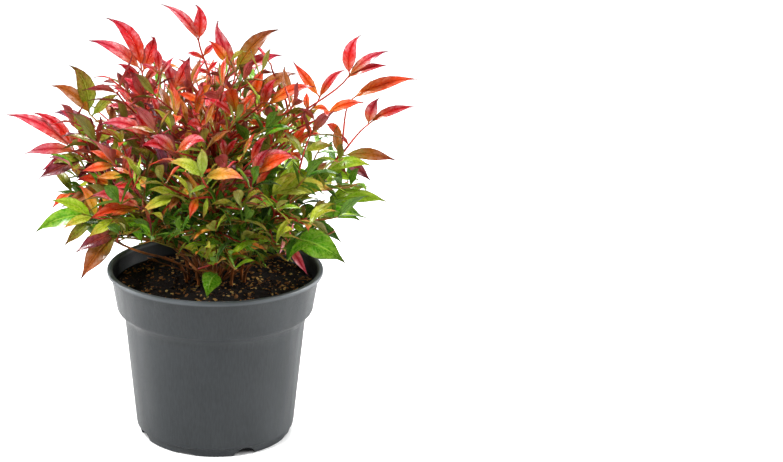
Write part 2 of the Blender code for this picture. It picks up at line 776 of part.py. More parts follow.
def make_foliage(parts, canes, limbs):
    rng = random.Random(SEED)
    directions = {name: direction_of(bearing, rise) for name, bearing, rise, _, _ in MASSES}
    placed = []
    leaves = 0
    for name, _, _, length, ruled in MASSES:
        others = [other for key, other in directions.items() if key != name]
        lead = (canes[name][-1] - canes[name][-2]).normalized()
        start = canes[name][-1] + lead * CLEAR
        rise = (lead + UP * 0.15).normalized()
        stem = curve_points(start, start + lead * 0.4 * length, start + rise * 0.7 * length,
                            start + rise * length, 4)
        scratch = make_collection("scratch_" + name)
        mass = Mass("foliage_" + name, directions[name], others, stem, limbs, scratch)
        for row in LEADING_FRONDS.get(name, ()):
            node = grow_leading_frond(mass, row)
            placed += [node] if node else []
        for _ in range(ruled):
            node = place_for_node(mass, directions[name], placed, rng)
            if node and grow_ruled_frond(mass, node, rng):
                placed.append(node)
        grow_stem_end(mass, stem)
        fuse(mass, parts, make_material("foliage_" + name.split("_")[0]))
        leaves += mass.leaves
    print("leaflets:", leaves)


def build():
    clear_scene()
    parts = make_collection(OBJECT_NAME)
    cutters = make_collection("cutters")
    make_pot(parts, cutters)
    make_soil(parts)
    canes, guards = make_canes(parts)
    make_foliage(parts, canes, guards + [guard_of_pot()])


build()
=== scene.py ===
# Heavenly bamboo in its nursery pot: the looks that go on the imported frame
import math
import random

import bmesh
import bpy
from mathutils import Matrix, Vector, noise


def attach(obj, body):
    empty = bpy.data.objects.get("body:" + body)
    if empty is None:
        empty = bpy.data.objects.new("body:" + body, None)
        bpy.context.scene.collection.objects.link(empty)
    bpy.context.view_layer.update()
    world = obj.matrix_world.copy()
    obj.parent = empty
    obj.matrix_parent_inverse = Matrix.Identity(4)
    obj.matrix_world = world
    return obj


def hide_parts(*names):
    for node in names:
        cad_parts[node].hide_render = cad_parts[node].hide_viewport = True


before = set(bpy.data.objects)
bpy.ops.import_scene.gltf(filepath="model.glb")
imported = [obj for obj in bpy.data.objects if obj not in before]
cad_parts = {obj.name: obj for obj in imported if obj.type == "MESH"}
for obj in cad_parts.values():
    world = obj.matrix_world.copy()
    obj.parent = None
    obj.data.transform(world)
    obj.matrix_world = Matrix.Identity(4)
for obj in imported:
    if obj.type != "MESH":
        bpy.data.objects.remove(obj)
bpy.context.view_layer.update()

scene = bpy.context.scene
up = Vector((0.0, 0.0, 1.0))


def hexColour(code):
    # "c8322a" as the linear colour a shader wants
    parts = [int(code[i:i + 2], 16) / 255.0 for i in (0, 2, 4)]
    return tuple(p / 12.92 if p < 0.04045 else ((p + 0.055) / 1.055) ** 2.4 for p in parts) + (1.0,)


def around(bearing, radius, height=0.0):
    turn = math.radians(bearing)
    return Vector((radius * math.cos(turn), radius * math.sin(turn), height))


def heading(bearing, rise):
    return around(bearing, math.cos(math.radians(rise)), math.sin(math.radians(rise)))


def outwardsAt(point):
    level = Vector((point.x, point.y, 0.0))
    return level.normalized() if level.length > 0.004 else Vector((0.0, -1.0, 0.0))


def curvePoints(a, b, c, d, count):
    # a cubic curve from a to d
    points = []
    for index in range(count):
        share = index / (count - 1.0)
        rest = 1.0 - share
        points.append(a * rest ** 3 + b * 3 * share * rest ** 2 + c * 3 * share ** 2 * rest + d * share ** 3)
    return points


def fromBmesh(bm, name, materials, smoothAngle=None):
    mesh = bpy.data.meshes.new(name)
    bm.to_mesh(mesh)
    bm.free()
    piece = bpy.data.objects.new(name, mesh)
    scene.collection.objects.link(piece)
    for material in materials if isinstance(materials, (list, tuple)) else [materials]:
        mesh.materials.append(material)
    mesh.shade_smooth()
    if smoothAngle:
        mesh.set_sharp_from_angle(angle=math.radians(smoothAngle))
    return piece


def spindle(sides, rings, place, underside=0):
    # a sphere with a pole at each end; place() lays its rings along a path, and gives each corner its map
    bm = bmesh.new()
    bmesh.ops.create_uvsphere(bm, u_segments=sides, v_segments=rings + 1, radius=1.0)
    for face in bm.faces:
        face.material_index = underside if face.calc_center_median().y < 0.0 else 0
    layer = bm.loops.layers.uv.new("growMap")
    for vert in bm.verts:
        polar = math.acos(max(-1.0, min(1.0, vert.co.z))) / math.pi
        turn = math.atan2(vert.co.y, vert.co.x) % math.tau
        vert.co, spot = place(round(polar * (rings + 1)), turn)
        for loop in vert.link_loops:
            loop[layer].uv = spot
    return bm


class Pile:
    # gathers many small shapes into one piece

    def __init__(self, name):
        self.name = name
        self.bm = bmesh.new()
        self.spare = bpy.data.meshes.new(name + "Spare")

    def add(self, bm):
        bm.to_mesh(self.spare)
        bm.free()
        self.bm.from_mesh(self.spare)

    def finish(self, materials, smoothAngle=None):
        bpy.data.meshes.remove(self.spare)
        return fromBmesh(self.bm, self.name, materials, smoothAngle)


class NodeTree:
    # a node tree, with short ways to add nodes and to feed their inputs; an added node gives its outputs

    def __init__(self, tree):
        self.nodes = tree.nodes
        self.links = tree.links

    def feed(self, node, inputs):
        # a number is set, a colour code becomes its colour, and the output of another node is linked
        for key, value in inputs.items():
            if isinstance(value, str):
                value = hexColour(value)
            if isinstance(value, (int, float, tuple)):
                node.inputs[key].default_value = value
            elif value is not None:
                self.links.new(value, node.inputs[key])

    def add(self, kind, x, y, inputs=None, **settings):
        node = self.nodes.new("ShaderNode" + kind)
        node.location = (x, y)
        for key, value in settings.items():
            setattr(node, key, value)
        self.feed(node, inputs or {})
        return node.outputs

    def math(self, operation, a, b, x, y, c=None):
        return self.add("Math", x, y, {0: a, 1: b, 2: c}, operation=operation)[0]

    def spread(self, value, low, high, toLow, toHigh, x, y):
        inputs = {"Value": value, "From Min": low, "From Max": high, "To Min": toLow, "To Max": toHigh}
        return self.add("MapRange", x, y, inputs, interpolation_type="SMOOTHSTEP")["Result"]

    def mix(self, factor, a, b, x, y):
        return self.add("Mix", x, y, {0: factor, 6: a, 7: b}, data_type="RGBA")[2]

    def mottled(self, place, scales, x, y):
        # the shared cloudiness, at this finish's own scales
        inputs = {"Place": place, "Broad Scale": scales[0], "Fine Scale": scales[1]}
        return self.add("Group", x, y, inputs, node_tree=mottle)

    def finish(self, shader, shade, rough, height, bump):
        # what every finish ends in: its colour, its roughness and its relief
        inputs = {"Height": height, "Strength": bump[0], "Distance": bump[1]}
        relief = self.add("Bump", shader.location.x - 240, -400, inputs)
        self.feed(shader, {"Base Color": shade, "Roughness": rough, "Normal": relief["Normal"]})


def newMaterial(name, x):
    material = bpy.data.materials.new(name)
    material.use_nodes = True
    tree = NodeTree(material.node_tree)
    shader = tree.nodes["Principled BSDF"]
    shader.location = (x, 0)
    tree.nodes["Material Output"].location = (x + 300, 0)
    return material, tree, shader


def newGroup(name, inputs):
    # an input without a value is a vector
    group = bpy.data.node_groups.new(name, "ShaderNodeTree")
    for title, value in inputs.items():
        kind = "NodeSocketVector" if value is None else "NodeSocketFloat"
        socket = group.interface.new_socket(title, in_out="INPUT", socket_type=kind)
        if value is not None:
            socket.default_value = value
    start = group.nodes.new("NodeGroupInput")
    start.location = (-1300, 0)
    return group, NodeTree(group), start.outputs


def closeGroup(group, tree, masks):
    for title in masks:
        group.interface.new_socket(title, in_out="OUTPUT", socket_type="NodeSocketFloat")
    end = group.nodes.new("NodeGroupOutput")
    end.location = (900, 0)
    tree.feed(end, masks)
    return group


def leafMarksGroup():
    # midrib, side veins, heel and tip of a leaflet from its own map: x runs from heel to tip
    group, tree, start = newGroup("leafMarks", {"Map": None, "Rib Width": 0.16, "Vein Count": 9.0})
    split = tree.add("SeparateXYZ", -1100, 0, {0: start["Map"]})
    number = tree.math("DIVIDE", split["X"], 2.0, -1000, 300)
    number = tree.math("FLOOR", number, None, -860, 300)          # which leaflet this is
    twice = tree.math("MULTIPLY", number, 2.0, -720, 300)
    station = tree.math("SUBTRACT", split["X"], twice, -580, 300)
    dealt = tree.add("TexWhiteNoise", -580, 480, {"W": number}, noise_dimensions="1D")
    again = tree.add("SeparateXYZ", -380, 480, {0: dealt["Color"]})
    across = tree.math("MULTIPLY_ADD", split["Y"], 2.0, -520, -120, -1.0)
    across = tree.math("ABSOLUTE", across, None, -340, -120)      # 0 on the midrib, 1 on the margin
    rib = tree.spread(across, 0.0, start["Rib Width"], 1.0, 0.0, -120, -200)
    slant = tree.math("MULTIPLY", across, 0.22, -340, 120)
    along = tree.math("SUBTRACT", station, slant, -160, 120)
    along = tree.math("MULTIPLY", along, start["Vein Count"], 20, 120)
    saw = tree.math("PINGPONG", along, 0.5, 200, 120)
    veins = tree.spread(saw, 0.0, 0.13, 1.0, 0.0, 380, 120)
    pucker = tree.math("MULTIPLY", veins, -0.5, 560, 120)
    return closeGroup(group, tree, {
        "Rib": rib,
        "Veins": veins,
        "Heel": tree.spread(station, 0.05, 0.60, 1.0, 0.0, 200, -300),
        "Tip": tree.spread(station, 0.45, 0.95, 0.0, 1.0, 200, -480),
        "Margin": tree.spread(across, 0.84, 1.0, 0.0, 1.0, 200, -660),
        "Point": tree.spread(station, 0.82, 0.96, 0.0, 1.0, 200, -860),
        "Outer": tree.spread(across, 0.15, 0.60, 0.0, 1.0, 200, -1040),
        "Height": tree.math("SUBTRACT", pucker, rib, 740, 40),
        "Dealt": dealt["Value"],
        "Dealt Again": again["Y"],
    })


def mottleGroup():
    # broad and fine cloudiness that several finishes share, 0 to 1
    group, tree, start = newGroup("mottle", {"Place": None, "Broad Scale": 40.0, "Fine Scale": 400.0})
    clouds = {}
    for title, y, detail in (("Broad", 120, 3.0), ("Fine", -160, 5.0)):
        inputs = {"Vector": start["Place"], "Scale": start[title + " Scale"], "Detail": detail}
        cloud = tree.add("TexNoise", -400, y, inputs)["Fac"]
        clouds[title] = tree.spread(cloud, 0.3, 0.7, 0.0, 1.0, -100, y)
    return closeGroup(group, tree, clouds)


leafMarks = leafMarksGroup()
mottle = mottleGroup()


leafFinish = {
    "scales": (210.0, 480.0), "gloss": (-0.05, 0.10), "bump": (0.9, 0.0007),
    "heel": (0.45, 1.0), "tip": (0.20, 0.95), "dull": 0.45, "deep": 0.26,
    "rib": 0.85, "veins": 0.42, "margin": 0.50, "point": 0.80,
    "edge": "4a1c20", "dark": "3a1c20", "shadow": "1e120c",
    "coating": {"Coat Weight": 0.28, "Coat Roughness": 0.18, "Specular IOR Level": 0.28},
}


def leafMaterial(name, body, heel, tip, rib, paintedSheen, gloss=0.30):
    material, tree, shader = newMaterial(name, 1300)
    finish = leafFinish
    place = tree.add("TexCoord", -900, -300)["Object"]
    leafMap = tree.add("UVMap", -900, 0, uv_map="growMap")["UV"]
    marks = tree.add("Group", -650, 0, {"Map": leafMap}, node_tree=leafMarks)
    clouds = tree.mottled(place, finish["scales"], -650, -400)
    # painted sheen: paler patches over the outer blade stand in for highlights
    outer = tree.math("MULTIPLY", marks["Outer"], clouds["Broad"], -420, -200)
    shade = tree.mix(outer, body, paintedSheen, -400, 100)
    # each mark with its strength, one number or one dealt to each leaflet, and its colour
    steps = (
        (marks["Heel"], tree.spread(marks["Dealt"], 0.0, 1.0, *finish["heel"], -420, 520), heel),
        (marks["Tip"], tree.spread(marks["Dealt Again"], 0.0, 1.0, *finish["tip"], -180, 520), tip),
        (marks["Rib"], finish["rib"], rib),
        (marks["Veins"], finish["veins"], rib),
        (marks["Margin"], finish["margin"], finish["edge"]),
        (tree.spread(clouds["Fine"], 0.35, 1.0, 0.0, 1.0, 640, 520), finish["dull"], rib),
        (marks["Point"], finish["point"], finish["dark"]),
        (tree.spread(marks["Dealt"], 0.0, 1.0, 0.0, 1.0, 840, 520), finish["deep"], finish["shadow"]),
    )
    for order, (mark, strength, colour) in enumerate(steps):
        x = 170 * order - 180
        shade = tree.mix(tree.math("MULTIPLY", mark, strength, x - 120, 320), shade, colour, x, 100)
    gloss = [gloss + step for step in finish["gloss"]]
    rough = tree.spread(clouds["Fine"], 0.0, 1.0, *gloss, 480, -200)
    tree.finish(shader, shade, rough, marks["Height"], finish["bump"])
    tree.feed(shader, finish["coating"])
    return material


def mottledMaterial(name, first, second, rough, finish):
    # two colours in clouds, with a fine grain: bark, peat and chips
    material, tree, shader = newMaterial(name, 500)
    clouds = tree.mottled(tree.add("TexCoord", -700, 0)["Object"], finish["scales"], -450, 0)
    shade = tree.mix(clouds["Broad"], first, second, -150, 100)
    rough = tree.spread(clouds["Fine"], 0.0, 1.0, *rough, -150, -200)
    tree.finish(shader, shade, rough, clouds["Fine"], finish["bump"])
    return material


leafShape = {
    "sides": 4,
    "stations": (0.0, 0.012, 0.085, 0.19, 0.33, 0.47, 0.60, 0.72, 0.83, 0.93, 1.0),
    "widths": (0.0, 0.0, 0.10, 0.58, 0.94, 1.00, 0.86, 0.55, 0.22, 0.07, 0.0),      # of the half width
    "thick": 0.00024,
    "stalk": 0.00065,        # half the width of the short stalk that carries the blade
    "fold": 0.48,            # how far the edges stand up for each unit of half width
    "ripple": 0.16, "waves": 9.0,
    "twist": 0.35, "skew": 0.10, "foldSpread": (0.6, 1.3), "numbers": 200,
}


def leafSpine(root, aim, length, droop, curl, bend):
    # from heel to tip: the blade bends over, and its tip curls once more; its chord stays on aim
    points, ways = [root.copy()], []
    stations = leafShape["stations"]
    start = (aim - bend * (0.18 * droop + 0.081 * curl)).normalized()
    for before, after in zip(stations, stations[1:]):
        share = 0.5 * (before + after)
        way = (start + bend * (droop * (share - 0.32) + curl * max(0.0, share - 0.7) ** 2 * 9.0)).normalized()
        ways.append(way)
        points.append(points[-1] + way * length * (after - before))
    ways = [ways[0]] + [(a + b).normalized() for a, b in zip(ways, ways[1:])] + [ways[-1]]
    return points, ways


def makeLeaflet(root, aim, length, slender, facing, droop, curl, rng):
    out = outwardsAt(root)
    bend = (out * 0.55 - up * 0.85 + Vector((rng.uniform(-0.3, 0.3), rng.uniform(-0.3, 0.3), 0.0))).normalized()
    points, ways = leafSpine(root, aim, length, droop, curl, bend)
    number = rng.randrange(leafShape["numbers"])
    halfWidth = 0.5 * length * slender
    phase = rng.uniform(0.0, math.tau)
    twist = rng.uniform(-leafShape["twist"], leafShape["twist"])
    skew = rng.uniform(-leafShape["skew"], leafShape["skew"])
    fold = leafShape["fold"] * rng.uniform(*leafShape["foldSpread"])
    widths = leafShape["widths"]
    stations = leafShape["stations"]

    def frameAt(index):
        way = ways[index]
        normal = facing - way * facing.dot(way)
        normal.normalize()
        side = way.cross(normal)
        turn = twist * (stations[index] - 0.3)
        return (normal * math.cos(turn) + side * math.sin(turn),
                side * math.cos(turn) - normal * math.sin(turn))

    frames = [frameAt(index) for index in range(len(points))]

    def place(ring, turn):
        if ring in (0, len(points) - 1):
            return points[ring], (stations[ring] * 0.999 + 2.0 * number, 0.5)
        normal, side = frames[ring]
        across, above = math.cos(turn), math.sin(turn)
        width = max(halfWidth * widths[ring], leafShape["stalk"] if stations[ring] < 0.1 else 0.0)
        thick = leafShape["thick"] if stations[ring] > 0.1 else 0.9 * leafShape["stalk"]
        phaseHere = phase + (1.6 if across > 0 else 0.0)
        wave = leafShape["ripple"] * math.sin(leafShape["waves"] * stations[ring] + phaseHere)
        lift = abs(across) * width * (fold + wave * abs(across)) - 0.35 * width * across * across * fold
        sway = ways[ring] * skew * width * across
        spot = points[ring] + side * width * across + normal * (lift + above * thick) + sway
        return spot, (stations[ring] + 2.0 * number, 0.5 + 0.5 * across)

    bm = spindle(leafShape["sides"], len(points) - 2, place, underside=1)
    bmesh.ops.triangulate(bm, faces=bm.faces, quad_method="SHORT_EDGE")   # both sides of the blade alike
    return bm, points


twigShape = {"sides": 5, "root": 0.00110, "tip": 0.00070}


def sideFrame(along, facing):
    along = along.normalized()
    normal = facing - along * facing.dot(along)
    normal.normalize()
    return along, normal, along.cross(normal)


def makeTwig(path, rootRadius, tipRadius, sides=6, relief=None):
    reference = Vector((0.37, 0.21, 0.90))

    def place(ring, turn):
        index = min(max(ring - 1, 0), len(path) - 1)
        share = index / (len(path) - 1.0)
        if ring in (0, len(path) + 1):
            return path[index], (share, 0.5)
        before, after = path[max(index - 1, 0)], path[min(index + 1, len(path) - 1)]
        _, normal, side = sideFrame(after - before, reference)
        out = side * math.cos(turn) + normal * math.sin(turn)
        radius = rootRadius + (tipRadius - rootRadius) * share
        if relief:
            radius *= relief(path[index], out, index)
        return path[index] + out * radius, (share, turn / math.tau)

    return spindle(sides, len(path), place)


# how the crown fills: the same rule as the solids, carried further
crown = {
    "seed": 5,
    "root": Vector((0.0, 0.0, 0.140)), "tall": 0.245, "lowest": 0.158,
    "lowReach": 0.150, "highReach": 0.236, "lowAngle": 18.0, "highAngle": 46.0,
    "clump": 0.028, "lowCane": 0.066, "highCane": 0.100, "stemLift": 5.0,
    "frontShares": (0.34, 0.44, 0.54, 0.62, 0.70, 0.76),
    "backShares": (0.34, 0.46, 0.58, 0.70, 0.82),
    "topShares": (0.44, 0.54, 0.62, 0.70, 0.78, 0.86),
    "innerShares": (0.26, 0.32, 0.38, 0.44, 0.50), "innerCount": 0.50, "outerCount": 1.35,
    "tries": 40, "wander": 0.26,
    "spacing": 0.0042,           # least distance between the midribs of different sprays
    "sameSpray": 0.6,            # of that, within one spray
    "widest": 0.175, "leadingWidest": 0.1825,
    "potWall": 0.080, "potRim": 0.100, "rimTop": 0.153, "soilTop": 0.144,
    "leaf": (0.025, 0.042), "slender": (0.21, 0.29), "sideLeaf": 0.86, "innerLeaf": 0.85,
    "leadingLeaf": 1.08, "leadingPairs": 0.7,
    "droop": 1.05, "droopLoss": 0.45, "leadingDroop": 1.0,
    "droopSpread": (0.7, 1.3), "curl": (0.2, 0.9),
    "spread": 50.0, "pairSpread": 62.0, "pairRoll": 50.0,
    "pairs": ((0.66, 0.84), (0.40, 0.62)),      # place along the twig, and size
}

# what stays open as seen from the front; a pair holds the right side and the left side
outline = {
    "up": 0.954, "back": 0.2995,                         # how high in the picture a point shows
    "soil": 0.145, "soilSlopes": (0.14, 0.50), "soilRise": 0.025, "soilHalf": 0.088,
    "crest": 0.338, "shoulders": (6.4, 2.8),
    "skirt": 0.160, "skirtSlope": 0.4, "skirtFrom": 0.085,
}

# each mass: bearing from +X, rise, length of its stem, sprays grown by rule
masses = {
    "top": (100.0, 89.0, 0.085, 26),
    "upper_right": (-3.0, 63.0, 0.080, 20),
    "upper_back": (88.0, 62.0, 0.080, 28),
    "upper_left": (183.0, 63.0, 0.080, 22),
    "upper_front": (270.0, 63.0, 0.080, 34),
    "middle_right": (-2.0, 41.0, 0.070, 12),
    "middle_back_right": (58.0, 41.0, 0.070, 28),
    "middle_back_left": (121.0, 41.0, 0.070, 28),
    "middle_left": (184.0, 40.0, 0.070, 22),
    "middle_front_left": (232.0, 39.0, 0.070, 32),
    "middle_front": (270.0, 39.0, 0.070, 36),
    "middle_front_right": (307.0, 39.0, 0.070, 32),
    "low_right": (-18.0, 21.0, 0.050, 5),
    "low_back_right": (68.0, 22.0, 0.050, 20),
    "low_back_left": (132.0, 22.0, 0.050, 20),
    "low_left": (200.0, 21.0, 0.050, 17),
    "low_front": (257.0, 20.0, 0.034, 12),
}

# sprays that show in the photo's outline and on its near side, in millimetres: where the leaflets
# part, tilt to the front in degrees, each leaflet's lean as seen from the front, its length and, if
# need be, its width over its length, then the tints dealt to it
leadingSprays = {
    "top": (
        ((-14, 0, 353), 10, ((90, 32, 0.33), (134, 46, 0.17)), "scarlet"),
        ((17, 0, 325), 0, ((112, 47, 0.24), (46, 54, 0.24), (21, 44, 0.22)), "coralOlive"),
        ((-35, -20, 314), 20, ((66, 38), (110, 36)), "scarlet"),
    ),
    "upper_left": (
        ((-62, -10, 330), 12, ((121, 56, 0.22), (149, 53, 0.20), (72, 38, 0.30)), "scarlet"),
        ((-107, -10, 292), 5, ((108, 46, 0.31), (144, 43, 0.24), (41, 31)), "olive"),
        ((-54, -80, 289), 25, ((162, 45), (120, 30)), "rosy"),
    ),
    "upper_right": (
        ((34, -10, 306), 10, ((30, 42), (73, 30)), "bronze"),
        ((89, 0, 304), 0, ((127, 38, 0.20), (49, 34, 0.20)), "flame"),
        ((114, 0, 323), 0, ((80, 36, 0.30), (30, 40, 0.19), (12, 36, 0.18)), "scarlet"),
        ((93, -30, 296), 15, ((16, 34),), "flame"),
    ),
    "upper_front": (
        ((41, -60, 309), 12, ((24, 45, 0.20), (70, 30)), "flame"),
        ((3, -50, 305), 30, ((230, 30), (60, 28)), "flame"),
        ((8, -90, 275), 30, ((100, 22), (60, 24)), "rosy"),
        ((-32, -130, 290), 37, ((166, 33), (138, 31), (28, 34)), "scarlet"),
    ),
    "middle_left": (
        ((-122, -10, 260), 5, ((164, 64, 0.17), (137, 50, 0.18), (186, 43)), "rosy"),
        ((-110, -30, 257), 15, ((205, 42), (190, 30)), "maroon"),
        ((-87, -40, 236), 20, ((203, 46), (170, 34)), "bronze"),
        ((-109, 20, 275), 0, ((164, 33),), "mauve"),
    ),
    "middle_front_left": (
        ((-61, -90, 231), 25, ((189, 43, 0.26), (159, 48, 0.24)), "flamePink"),
        ((-30, -105, 245), 30, ((200, 34), (158, 30), (30, 28)), "gold"),
    ),
    "middle_front": (
        ((-10, -150, 275), 25, ((92, 30), (153, 34), (2, 36)), "gold"),
        ((30, -90, 272), 20, ((5, 38), (60, 28)), "rosy"),
    ),
    "middle_front_right": (
        ((46, -88, 242), 12, ((2, 52, 0.27), (40, 34)), "gold"),
        ((30, -100, 262), 15, ((28, 40), (62, 30)), "flamePink"),
    ),
    "middle_right": (
        ((117, 12, 299), 0, ((14, 58, 0.18),), "flame"),
        ((134, 20, 276), 0, ((18, 42, 0.18), (70, 25, 0.40)), "scarlet"),
        ((109, -10, 255), 5, ((-8, 45, 0.22), (100, 29), (-40, 33)), "dusk"),
        ((94, -20, 243), 10, ((6, 40), (-12, 30)), "lime"),
    ),
    "low_left": (
        ((-105, 0, 197), 10, ((199, 53), (223, 36)), "greenOlive"),
        ((-81, -40, 196), 15, ((233, 50, 0.32), (205, 41)), "maroonOlive"),
    ),
    "low_right": (
        ((100, 10, 208), 0, ((-5, 50, 0.23), (21, 38), (-24, 32)), "lime"),
        ((59, -70, 201), 12, ((-25, 52, 0.42), (-58, 36, 0.20)), "greenRosy"),
        ((80, -20, 205), 10, ((-10, 46, 0.25), (-38, 36)), "green"),
    ),
    "low_front": (
        ((2, -75, 180), 18, ((20, 48, 0.22), (152, 36, 0.22), (98, 34, 0.28)), "lowGold"),
        ((2, -62, 166), 62, ((240, 36, 0.44),), "green"),
    ),
}

# what each kind of spray is dealt, its leaflets' tints in turn
sprayTints = {
    "scarlet": "scarlet coral scarlet crimson",
    "coralOlive": "coral bronze coral olive",
    "rosy": "coral scarlet rosy mauve",
    "flamePink": "flame coral flame rosy",
    "flame": "flame scarlet flame amber",
    "crimson": "crimson scarlet bronze flame",
    "amber": "amber flame yellowGreen amber",
    "bronze": "bronze flame olive bronze",
    "olive": "olive bronze olive yellowGreen",
    "maroon": "maroon olive mauve bronze",
    "dusk": "bronze bronze maroon olive",
    "maroonOlive": "bronze maroon deepGreen olive",
    "mauve": "mauve olive green mauve",
    "gold": "yellowGreen yellowGreen amber lime",
    "greenOlive": "green olive green deepGreen",
    "lime": "lime lime green yellowGreen",
    "lowGold": "amber yellowGreen yellowGreen lime",
    "greenRosy": "green rosy deepGreen green",
    "green": "green deepGreen green lime",
    "deep": "deepGreen darkGreen green deepGreen",
    "dark": "darkGreen deepGreen darkGreen darkGreen",
}

# which sprays grow where, from the top of the crown down: lowest share of its height, then sprays
sprayPlaces = (
    (0.73, "scarlet scarlet flame crimson rosy flame coralOlive bronze"),
    (0.61, "scarlet coralOlive crimson flame bronze olive greenOlive amber flame"),
    (0.47, "flame bronze gold olive greenOlive green amber crimson"),
    (0.34, "gold amber bronze greenOlive green olive deep"),
    (0.18, "green gold lime greenOlive deep"),
    (-1.0, "green deep greenOlive lime"),
)

# patches that differ: the side, how far from the middle, shares of the height, how often, then sprays
sprayPatches = (
    (-1.0, 0.035, 0.28, 0.66, 0.7, "mauve olive maroon rosy dusk bronze"),
    (1.0, 0.025, 0.28, 0.60, 0.6, "green greenOlive bronze flame lime crimson"),
    (1.0, 0.045, -1.0, 0.46, 0.85, "lime lime lime green gold"),
)


def crownReach(ray):
    rise = math.degrees(math.asin(max(-1.0, min(1.0, ray.z))))
    share = (rise - crown["lowAngle"]) / (crown["highAngle"] - crown["lowAngle"])
    share = max(0.0, min(1.0, share))
    return crown["lowReach"] + (crown["highReach"] - crown["lowReach"]) * share * share * (3.0 - 2.0 * share)


def shareOfReach(node):
    # 0 at the root of the crown, 1 on its outside
    ray = node - crown["root"]
    return ray.length / crownReach(ray.normalized())


def shareOfHeight(node):
    return (node.z - crown["root"].z) / crown["tall"]


def canePath(bearing, rise):
    heightShare = math.sin(math.radians(rise)) ** 2
    tipRise = rise + min(crown["stemLift"], 0.5 * (90.0 - rise))
    reach = crown["lowCane"] + (crown["highCane"] - crown["lowCane"]) * heightShare
    tip = crown["root"] + heading(bearing, tipRise) * reach
    foot = around(bearing, crown["clump"] * math.cos(math.radians(rise)) ** 0.7, crown["root"].z)
    span = (tip - foot).length
    return foot, foot + up * 0.45 * span, tip - heading(bearing, rise) * 0.35 * span, tip


def stemPath(tip, lead, length):
    rise = (lead + up * 0.15).normalized()
    return tip, tip + lead * 0.4 * length, tip + rise * 0.7 * length, tip + rise * length


class Crowding:
    # remembers where midribs run, so that a new leaflet can tell whether its place is taken

    def __init__(self, spacing):
        self.spacing = spacing
        self.cells = {}

    def cellOf(self, point):
        return tuple(int(math.floor(value / self.spacing)) for value in point)

    def taken(self, points, spray):
        for point in points:
            x, y, z = self.cellOf(point)
            for cell in ((x + i, y + j, z + k) for i in (-1, 0, 1) for j in (-1, 0, 1) for k in (-1, 0, 1)):
                for other, owner in self.cells.get(cell, ()):
                    limit = self.spacing * (crown["sameSpray"] if owner == spray else 1.0)
                    if (other - point).length < limit:
                        return True
        return False

    def add(self, points, spray):
        for point in points:
            self.cells.setdefault(self.cellOf(point), []).append((point, spray))


